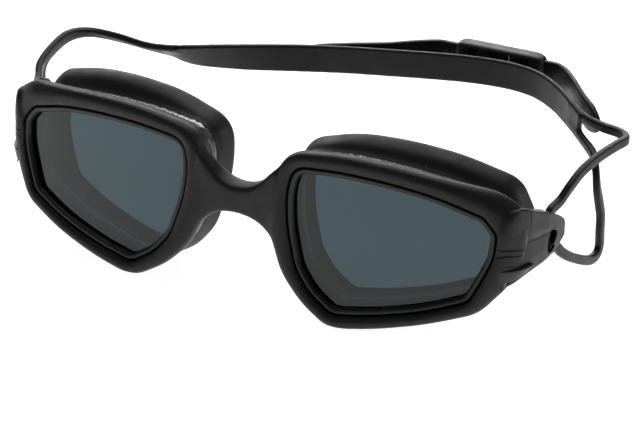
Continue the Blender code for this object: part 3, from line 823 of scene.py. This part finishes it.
LEFT_LOOP = [
    (-57.0, 63.9, 13.9, 98.0, 41.0),
    (-61.0, 63.5, 13.5, 97.0, 52.0),
    (-68.0, 63.2, 13.0, 96.0, 56.0),
    (-79.5, 64.8, 12.7, 100.0, 40.0),
    (-89.2, 64.4, 12.4, 124.0, 20.0),
    (-93.8, 59.6, 12.2, 156.0, 6.0),
    (-94.6, 51.4, 10.4, 178.0, 0.0),
    (-94.0, 44.4, 8.2, 184.0, 0.0),
    (-91.6, 39.6, 6.6, 190.0, 0.0),
    (-89.4, 35.4, 6.2, 202.0, 0.0),
    (-86.0, LOOP_Y + 0.6, 8.4, 200.0, 0.0),
    (-82.8, LOOP_Y, 8.2, 186.0, 0.0),
    (-LOOP_X, LOOP_Y, 5.6, 180.0, 0.0),
    (-LOOP_X, LOOP_Y, LOOP_Z, 180.0, 0.0),
    (-LOOP_X, LOOP_Y, -4.2, 180.0, 0.0),
    (-81.8, LOOP_Y + 1.0, -5.4, 180.0, 0.0),
    (-81.9, 36.2, -5.6, 181.0, 0.0),
    (-82.1, 38.6, -6.6, 184.0, 0.0),
    (-83.6, 40.8, -7.0, 190.0, 0.0),
    (-89.0, 43.2, -5.2, 192.0, 0.0),
    (-94.2, 45.4, 0.6, 188.0, 0.0),
    (-96.2, 48.8, 5.8, 184.0, 0.0),
    (-96.3, 54.8, 8.6, 176.0, 4.0),
    (-95.2, 62.6, 10.3, 152.0, 10.0),
    (-90.8, 67.8, 10.7, 124.0, 26.0),
    (-81.2, 68.1, 10.9, 104.0, 42.0),
    (-69.7, 66.8, 11.0, 96.0, 56.0),
    (-61.0, 68.0, 10.2, 97.0, 52.0),
    (-57.0, 67.7, 9.6, 98.0, 41.0),
]

REAR_BAND_LEFT = [
    (-20.0, 79.1, 13.6, 107.0),
    (-14.0, 81.1, 14.4, 107.0),
    (-8.0, 83.3, 15.1, 108.0),
    (2.0, 87.2, 16.0, 112.0),
    (9.4, 91.4, 16.7, 116.0),
    (15.4, 94.4, 17.1, 102.0),
    (19.0, 94.83, 17.2, 93.0),
    (25.6, 95.17, 17.2, 93.0),
    (38.2, 95.83, 17.2, 93.0),
]

REAR_BAND_RIGHT = [
    (39.9, 95.93, 17.2, 93.0),
    (45.0, 96.19, 17.2, 93.0),
    (50.6, 96.49, 17.2, 93.0),
    (54.0, 96.3, 17.2, 84.0),
    (58.0, 93.8, 17.0, 64.0),
    (62.0, 89.8, 16.6, 52.0),
    (67.0, 84.8, 15.6, 47.0),
    (72.0, 80.6, 14.6, 45.0),
    (76.0, 77.4, 13.6, 42.0),
]


# Where the strands leave the head band, right and left.
FORKS = (Vector((72.0, 73.6, 14.4)), Vector((-62.0, 65.7, 11.8)))


def build_strap():
    strap = ribbon("strap_skin", HEAD_BAND, STRAP_THICK, STRAP_HEIGHT, 0.9, 0.5)
    loops = [ribbon("loop", rows, STRAND_THICK, STRAND_WIDTH, 0.7, 0.8) for rows in (RIGHT_LOOP, LEFT_LOOP)]
    join(strap, *loops)
    remesh(strap, STRAP_VOXEL)
    relax(strap, 5)
    def near_fork(co):
        near = np.zeros(len(co))
        for fork in FORKS:
            gap = np.linalg.norm(co - np.array(fork), axis=1)
            near = np.maximum(near, 1.0 - smoothstep(4.0, 9.0, gap))
        return near

    relax(strap, 16, near_fork, True)
    return strap


# ---------- buckle ----------

def buckle_place(along, out, up):
    c, s = math.cos(BUCKLE_TURN), math.sin(BUCKLE_TURN)
    x, y, z = BUCKLE_CENTRE
    return (x + along * c - out * s, y + along * s + out * c, z + up)


def buckle_box(name, low, high):
    stations = [(low[0], box_outline((low[1], low[2]), (high[1], high[2]))),
                (high[0], box_outline((low[1], low[2]), (high[1], high[2])))]
    return loft(name, stations, [0.05] * 4, buckle_place, spacing=abs(high[0] - low[0]) / 4, steps=1)


def build_buckle():
    half = BUCKLE_LENGTH / 2
    tall = BUCKLE_HEIGHT / 2
    deep = BUCKLE_THICK / 2
    window = STRAP_HEIGHT / 2 + 0.35
    channel = STRAP_THICK / 2 + 0.4
    stations = []
    for along, pull_out, pull_up in ((-half, 1.5, 1.9), (-half + 0.9, 0.55, 0.8), (-half + 2.4, 0.1, 0.15),
                                     (-half + 5.0, 0.0, 0.0), (0.0, 0.0, 0.0), (half - 5.0, 0.0, 0.0),
                                     (half - 2.4, 0.1, 0.15), (half - 0.9, 0.55, 0.8), (half, 1.5, 1.9)):
        low = (-deep + pull_out, -tall + pull_up)
        high = (deep - pull_out, tall - pull_up)
        stations.append((along, box_outline(low, high)))
    buckle = loft("buckle_body", stations, [1.3] * 4, buckle_place, 0.5, 6)
    tools = [buckle_box("passage", (-half - 5, -channel, -window), (half + 5, channel, window))]
    for start, end in ((-9.6, -6.4), (-3.4, 3.6), (6.6, 10.0)):
        tools.append(buckle_box("slot", (start, -9.0, -window), (end, 9.0, window)))
    cut(buckle, *tools)
    remesh(buckle, SMALL_VOXEL)
    relax(buckle, 6)
    return buckle


# ---------- materials ----------

class Nodes:
    """Short names for building one material's node tree."""

    def __init__(self, name):
        self.mat = bpy.data.materials.new(name)
        self.mat.use_nodes = True
        self.tree = self.mat.node_tree
        self.bsdf = self.tree.nodes["Principled BSDF"]
        self.where = self.new("ShaderNodeTexCoord").outputs["Object"]

    def new(self, kind):
        return self.tree.nodes.new(kind)

    def link(self, a, b):
        self.tree.links.new(a, b)

    def noise(self, scale, detail, rough=0.55, distortion=0.0, stretch=None):
        node = self.new("ShaderNodeTexNoise")
        node.inputs["Scale"].default_value = scale
        node.inputs["Detail"].default_value = detail
        node.inputs["Roughness"].default_value = rough
        node.inputs["Distortion"].default_value = distortion
        source = self.where
        if stretch is not None:
            mapping = self.new("ShaderNodeMapping")
            mapping.inputs["Scale"].default_value = stretch
            self.link(self.where, mapping.inputs["Vector"])
            source = mapping.outputs["Vector"]
        self.link(source, node.inputs["Vector"])
        return node.outputs["Fac"]

    def specks(self, scale, size):
        """Sparse round dots, 1 inside and 0 outside."""
        node = self.new("ShaderNodeTexVoronoi")
        node.inputs["Scale"].default_value = scale
        self.link(self.where, node.inputs["Vector"])
        dots = self.ramp(node.outputs["Distance"], [(0.0, 1.0), (size, 1.0), (size * 1.6, 0.0)])
        keep = self.ramp(node.outputs["Color"], [(0.80, 0.0), (0.84, 1.0)])
        return self.math("MULTIPLY", dots, keep)

    def ramp(self, source, stops):
        node = self.new("ShaderNodeValToRGB")
        line = node.color_ramp
        while len(line.elements) < len(stops):
            line.elements.new(0.5)
        for element, (at, value) in zip(line.elements, stops):
            element.position = at
            colour = value if isinstance(value, tuple) else (value,) * 3
            element.color = (*colour, 1.0)
        self.link(source, node.inputs["Fac"])
        return node.outputs["Color"]

    def math(self, operation, a, b):
        node = self.new("ShaderNodeMath")
        node.operation = operation
        for slot, value in zip(node.inputs, (a, b)):
            if isinstance(value, (int, float)):
                slot.default_value = value
            else:
                self.link(value, slot)
        return node.outputs["Value"]

    def mix(self, factor, a, b):
        node = self.new("ShaderNodeMix")
        node.data_type = "RGBA"
        node.blend_type = "MIX"
        slots = [s for s in node.inputs if s.type == "RGBA"]
        for slot, value in zip(slots, (a, b)):
            if isinstance(value, tuple):
                slot.default_value = (*value, 1.0)
            else:
                self.link(value, slot)
        if isinstance(factor, (int, float)):
            node.inputs["Factor"].default_value = factor
        else:
            self.link(factor, node.inputs["Factor"])
        return [s for s in node.outputs if s.type == "RGBA"][0]

    # Mask that rises on sharp convex edges and bends; the materials use it to paint those edges lighter.
    def sharp_edge_mask(self, low=0.52, high=0.62):
        node = self.new("ShaderNodeNewGeometry")
        return self.ramp(node.outputs["Pointiness"], [(low, 0.0), (high, 1.0)])

    def bump(self, height, strength, distance, below=None):
        node = self.new("ShaderNodeBump")
        node.inputs["Strength"].default_value = strength
        node.inputs["Distance"].default_value = distance
        self.link(height, node.inputs["Height"])
        if below is not None:
            self.link(below, node.inputs["Normal"])
        return node.outputs["Normal"]


def plastic(name, base, light, rough, grain, specular):
    """Moulded matte plastic: spark-eroded grain, faint flow mottling, a painted highlight and polished wear
    on the edges, dust.
    """
    n = Nodes(name)
    mottle = n.noise(140.0, 5.0, 0.6)
    colour = n.mix(n.ramp(mottle, [(0.35, 0.0), (0.68, 1.0)]), base, light)
    # Lighter colour on sharp edges is a painted edge highlight; the same mask lowers the roughness there as
    # polished wear.
    edge_highlight_and_wear = n.math("MULTIPLY", n.sharp_edge_mask(), n.ramp(n.noise(420.0, 3.0), [(0.42, 0.15), (0.65, 1.0)]))
    colour = n.mix(n.math("MULTIPLY", edge_highlight_and_wear, 0.5), colour, tuple(2.1 * c for c in light))
    dust = n.specks(700.0, 0.10)
    colour = n.mix(n.math("MULTIPLY", dust, 0.3), colour, (0.22, 0.21, 0.20))
    n.link(colour, n.bsdf.inputs["Base Color"])
    patches = n.ramp(n.noise(260.0, 4.0), [(0.3, rough - 0.07), (0.7, rough + 0.07)])
    n.link(n.math("SUBTRACT", patches, n.math("MULTIPLY", edge_highlight_and_wear, 0.12)), n.bsdf.inputs["Roughness"])
    n.bsdf.inputs["Specular IOR Level"].default_value = specular
    fine = n.noise(5200.0, 2.0, 0.6)
    coarse = n.noise(1500.0, 3.0, 0.5)
    normal = n.bump(coarse, grain * 0.5, 0.00006)
    n.link(n.bump(fine, grain, 0.00004, normal), n.bsdf.inputs["Normal"])
    return n.mat


def silicone(name, base, light, rough, lines=None):
    """Soft rubber: satin skin with a dry bloom, faint moulding lines and lint."""
    n = Nodes(name)
    bloom = n.ramp(n.noise(90.0, 6.0, 0.65, 0.4), [(0.36, 0.0), (0.72, 1.0)])
    colour = n.mix(bloom, base, light)
    # Colour made lighter on sharp edges and bends.
    edge_lightening = n.math("MULTIPLY", n.sharp_edge_mask(0.515, 0.60), 0.45)
    colour = n.mix(edge_lightening, colour, tuple(1.9 * c for c in light))
    lint = n.specks(520.0, 0.085)
    colour = n.mix(n.math("MULTIPLY", lint, 0.4), colour, (0.30, 0.29, 0.28))
    n.link(colour, n.bsdf.inputs["Base Color"])
    satin = n.ramp(n.noise(200.0, 5.0), [(0.28, rough - 0.09), (0.72, rough + 0.08)])
    n.link(satin, n.bsdf.inputs["Roughness"])
    n.bsdf.inputs["Specular IOR Level"].default_value = 0.32
    n.bsdf.inputs["Sheen Weight"].default_value = 0.02
    n.bsdf.inputs["Sheen Roughness"].default_value = 0.45
    soft = n.bump(n.noise(900.0, 3.0, 0.5, 0.0, lines), 0.25, 0.00005)
    n.link(n.bump(n.noise(4200.0, 2.0), 0.22, 0.00003, soft), n.bsdf.inputs["Normal"])
    return n.mat


def gloss_film(name):
    """Shiny bonding film of the skirt flange."""
    n = Nodes(name)
    patch = n.ramp(n.noise(380.0, 5.0, 0.6, 0.8), [(0.40, 0.0), (0.66, 1.0)])
    n.link(n.mix(patch, (0.035, 0.034, 0.034), (0.10, 0.098, 0.095)), n.bsdf.inputs["Base Color"])
    n.link(n.ramp(n.noise(520.0, 4.0), [(0.3, 0.14), (0.75, 0.36)]), n.bsdf.inputs["Roughness"])
    n.bsdf.inputs["Specular IOR Level"].default_value = 0.5
    n.bsdf.inputs["Coat Weight"].default_value = 0.25
    n.bsdf.inputs["Coat Roughness"].default_value = 0.12
    crease = n.bump(n.noise(700.0, 5.0, 0.6, 1.2), 0.5, 0.00012)
    n.link(crease, n.bsdf.inputs["Normal"])
    return n.mat


def smoke_glass(name):
    """Tinted polycarbonate with faint haze and a few drying marks."""
    n = Nodes(name)
    tint = n.ramp(n.noise(45.0, 3.0), [(0.3, (0.020, 0.042, 0.051)), (0.7, (0.023, 0.046, 0.055))])
    n.link(tint, n.bsdf.inputs["Base Color"])
    n.bsdf.inputs["Transmission Weight"].default_value = 1.0
    n.bsdf.inputs["IOR"].default_value = 1.45
    marks = n.math("MULTIPLY", n.specks(240.0, 0.07), 0.12)
    haze = n.ramp(n.noise(120.0, 4.0, 0.6), [(0.4, 0.0), (0.8, 0.02)])
    n.link(n.math("ADD", haze, marks), n.bsdf.inputs["Roughness"])
    n.link(n.bump(n.noise(60.0, 2.0), 0.05, 0.00004), n.bsdf.inputs["Normal"])
    return n.mat


# ---------- pieces ----------

MATTE = plastic("matte_frame_plastic", (0.007, 0.0066, 0.0064), (0.011, 0.0104, 0.010),
                0.46, 0.35, 0.28)
BEZEL = plastic("bezel_plastic", (0.008, 0.0078, 0.0077), (0.012, 0.0115, 0.011), 0.42, 0.2, 0.4)
CLIP = plastic("clip_plastic", (0.008, 0.0076, 0.0073), (0.012, 0.0115, 0.011), 0.45, 0.35, 0.28)
BLADE_MAT = plastic("blade_plastic", (0.010, 0.0096, 0.0094), (0.015, 0.0144, 0.014), 0.36, 0.2, 0.4)
BUCKLE_MAT = plastic("buckle_plastic", (0.009, 0.0087, 0.0085), (0.014, 0.0135, 0.013),
                     0.40, 0.35, 0.35)
SKIRT = silicone("skirt_silicone", (0.007, 0.0067, 0.0065), (0.011, 0.0105, 0.010), 0.50)
SEAL = silicone("seal_silicone", (0.008, 0.008, 0.008), (0.013, 0.0125, 0.012), 0.55)
# The bands' surface noise is stretched upward.
UPRIGHT = (1.0, 1.0, 0.25)
STRAP = silicone("strap_silicone", (0.006, 0.0058, 0.0057), (0.010, 0.0097, 0.0094), 0.42, UPRIGHT)
REAR = silicone("rear_band_silicone", (0.006, 0.0058, 0.0057), (0.009, 0.0087, 0.0084), 0.42, UPRIGHT)
FILM = gloss_film("flange_film")
GLASS = smoke_glass("smoke_lens")

finish_piece(build_frame(), "goggle_frame", MATTE, ["front_frame"], 42.0)
for side, tag in ((1, "right"), (-1, "left")):
    body = "goggle_frame"
    bezel = ring_object(tag + "_bezel_ring", BEZEL_ROWS, side)
    finish_piece(bezel, body, BEZEL, [tag + "_bezel"])
    lens = lens_object(tag + "_lens_glass", side)
    finish_piece(lens, body, GLASS, [tag + "_lens"], 50.0)
    seal = ring_object(tag + "_seal_ring", seal_rows(), side)
    finish_piece(seal, body, SEAL, [tag + "_lens_seal"])
    flange = ring_object(tag + "_flange_ring", flange_rows(), side, ripple=crinkle)
    finish_piece(flange, body, FILM, [tag + "_flange"], 60.0)
    skirt = ring_object(tag + "_skirt", gasket_rows(), side, 6)
    finish_piece(skirt, body, SKIRT, [tag + "_gasket"], 60.0)
    finish_piece(build_clip(side, tag), body, CLIP, [tag + "_clip"])
    finish_piece(build_blade(side, tag), body, BLADE_MAT, [tag + "_blade"])

finish_piece(build_strap(), "head_strap", STRAP, ["strap"], 50.0)
left_band = ribbon("rear_band_left_skin", REAR_BAND_LEFT, STRAP_THICK, STRAP_HEIGHT, 0.6, 0.5, 5,
                   lambda a, b: (0.35 + 0.65 * min(1.0, a / 6.0), 0.94 + 0.06 * min(1.0, a / 4.0)))
finish_piece(left_band, "head_strap", REAR, ["rear_band_left"], 50.0)
right_band = ribbon("rear_band_right_skin", REAR_BAND_RIGHT, STRAP_THICK, STRAP_HEIGHT, 0.6, 0.5, 5,
                    lambda a, b: (1.0, 0.3 + 0.7 * math.sqrt(min(1.0, b / 5.0 + 0.02))))
finish_piece(right_band, "head_strap", REAR, ["rear_band_right"], 50.0)
finish_piece(build_buckle(), "strap_buckle", BUCKLE_MAT, ["buckle"])


# ---------- floor, light, camera ----------

FLOOR_HALF = 4.0
FLOOR_Z = -0.0002
FLOOR_CELLS = 4
# The floor gives off light, so the shadows stay faint.
FLOOR_GLOW = 1.5
WORLD_STRENGTH = 0.08

# Area lights: place, aim, width, height, watts.
LIGHTS = {
    "overhead": ((-0.10, 0.32, 0.95), (0.0, 0.0, 0.0), 0.8, 0.6, 4.5),
    "front_fill": ((-0.7, -1.1, 0.7), (0.0, 0.0, 0.0), 0.8, 0.8, 0.5),
    "back_strip": ((-0.50, 0.95, 0.50), (0.0, 0.0, 0.02), 1.2, 0.30, 7.0),
    "side_strip": ((0.95, 0.45, 0.30), (0.05, 0.0, 0.02), 0.6, 0.25, 2.0),
}


def build_floor():
    row = FLOOR_CELLS + 1
    step = 2 * FLOOR_HALF / FLOOR_CELLS
    verts = [(-FLOOR_HALF + step * i, -FLOOR_HALF + step * j, FLOOR_Z)
             for j in range(row) for i in range(row)]
    faces = [(a, a + 1, a + row + 1, a + row)
             for j in range(FLOOR_CELLS) for a in range(j * row, j * row + FLOOR_CELLS)]
    mesh = bpy.data.meshes.new("floor")
    mesh.from_pydata(verts, [], faces)
    obj = bpy.data.objects.new("floor", mesh)
    bpy.context.scene.collection.objects.link(obj)
    return obj


floor = build_floor()
paper = Nodes("paper_floor")
tone = paper.ramp(paper.noise(3.0, 3.0), [(0.3, 0.60), (0.7, 0.63)])
paper.link(tone, paper.bsdf.inputs["Base Color"])
paper.link(tone, paper.bsdf.inputs["Emission Color"])
paper.bsdf.inputs["Emission Strength"].default_value = FLOOR_GLOW
paper.bsdf.inputs["Roughness"].default_value = 0.9
paper.bsdf.inputs["Specular IOR Level"].default_value = 0.1
floor.data.materials.append(paper.mat)


def soft_light(name, place, aim, width, height, power):
    data = bpy.data.lights.new(name, "AREA")
    data.shape = "RECTANGLE"
    data.size = width
    data.size_y = height
    data.energy = power
    obj = bpy.data.objects.new(name, data)
    obj.location = place
    obj.rotation_euler = (Vector(aim) - Vector(place)).to_track_quat("-Z", "Y").to_euler()
    bpy.context.scene.collection.objects.link(obj)


for name, settings in LIGHTS.items():
    soft_light(name, *settings)

world = bpy.data.worlds.new("studio")
world.use_nodes = True
background = world.node_tree.nodes["Background"]
background.inputs["Color"].default_value = (1.0, 1.0, 1.0, 1.0)
background.inputs["Strength"].default_value = WORLD_STRENGTH
bpy.context.scene.world = world
bpy.context.scene.view_settings.view_transform = "Standard"

# Camera: about a metre away, 30 degrees to the right and 26 degrees up.
AZIMUTH = math.radians(30.0)
ELEVATION = math.radians(26.38)
DISTANCE = 1.0
LENS = 199.0
AIM_RIGHT = 0.02366
AIM_UP = -0.00057
right = Vector((math.cos(AZIMUTH), math.sin(AZIMUTH), 0.0))
away = Vector((math.sin(AZIMUTH) * math.cos(ELEVATION), -math.cos(AZIMUTH) * math.cos(ELEVATION),
               math.sin(ELEVATION)))
upward = away.cross(right)
heading = (-away + right * AIM_RIGHT + upward * AIM_UP).normalized()
side_axis = heading.cross(upward).normalized()
up_axis = side_axis.cross(heading)
camera_data = bpy.data.cameras.new("camera")
camera_data.lens = LENS
camera_data.sensor_width = 36.0
camera_data.clip_start = 0.01
camera_data.clip_end = 50.0
camera = bpy.data.objects.new("camera", camera_data)
pose = Matrix((side_axis, up_axis, -heading)).transposed().to_4x4()
pose.translation = -ORIGIN * MM + away * DISTANCE
camera.matrix_world = pose
bpy.context.scene.collection.objects.link(camera)
bpy.context.scene.camera = camera
